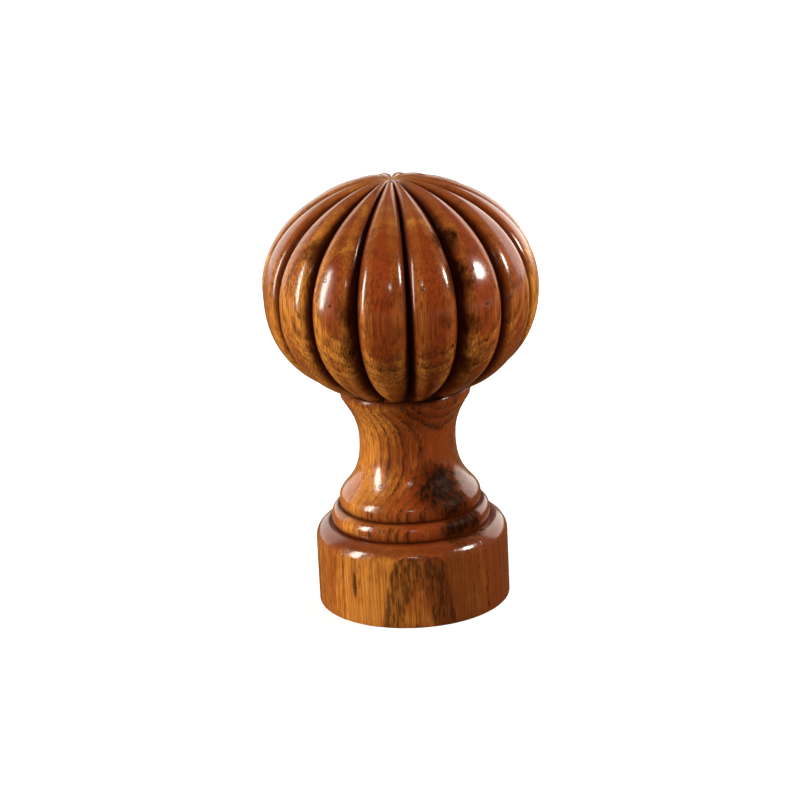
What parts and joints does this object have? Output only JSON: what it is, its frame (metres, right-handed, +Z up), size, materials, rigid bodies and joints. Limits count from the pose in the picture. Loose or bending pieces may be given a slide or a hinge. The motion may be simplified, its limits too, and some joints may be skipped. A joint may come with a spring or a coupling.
{
  "type": "newel post cap",
  "caption": "Turned oak cap for a newel post: a ball carved with upright reeds on a waisted neck, with a bead and a round base.",
  "frame": {"origin": "centre of the flat underside of the base", "axes": "+Z up along the axis of the turning, from the base to the top of the ball; -Y is the side the picture shows, with a groove on it"},
  "size_m": [0.1194, 0.1194, 0.1903],
  "materials": {
    "varnished_oak": "stained golden brown oak under a glossy varnish"
  },
  "bodies": {
    "root": {"newel_cap": "varnished_oak"}
  },
  "joints": []
}
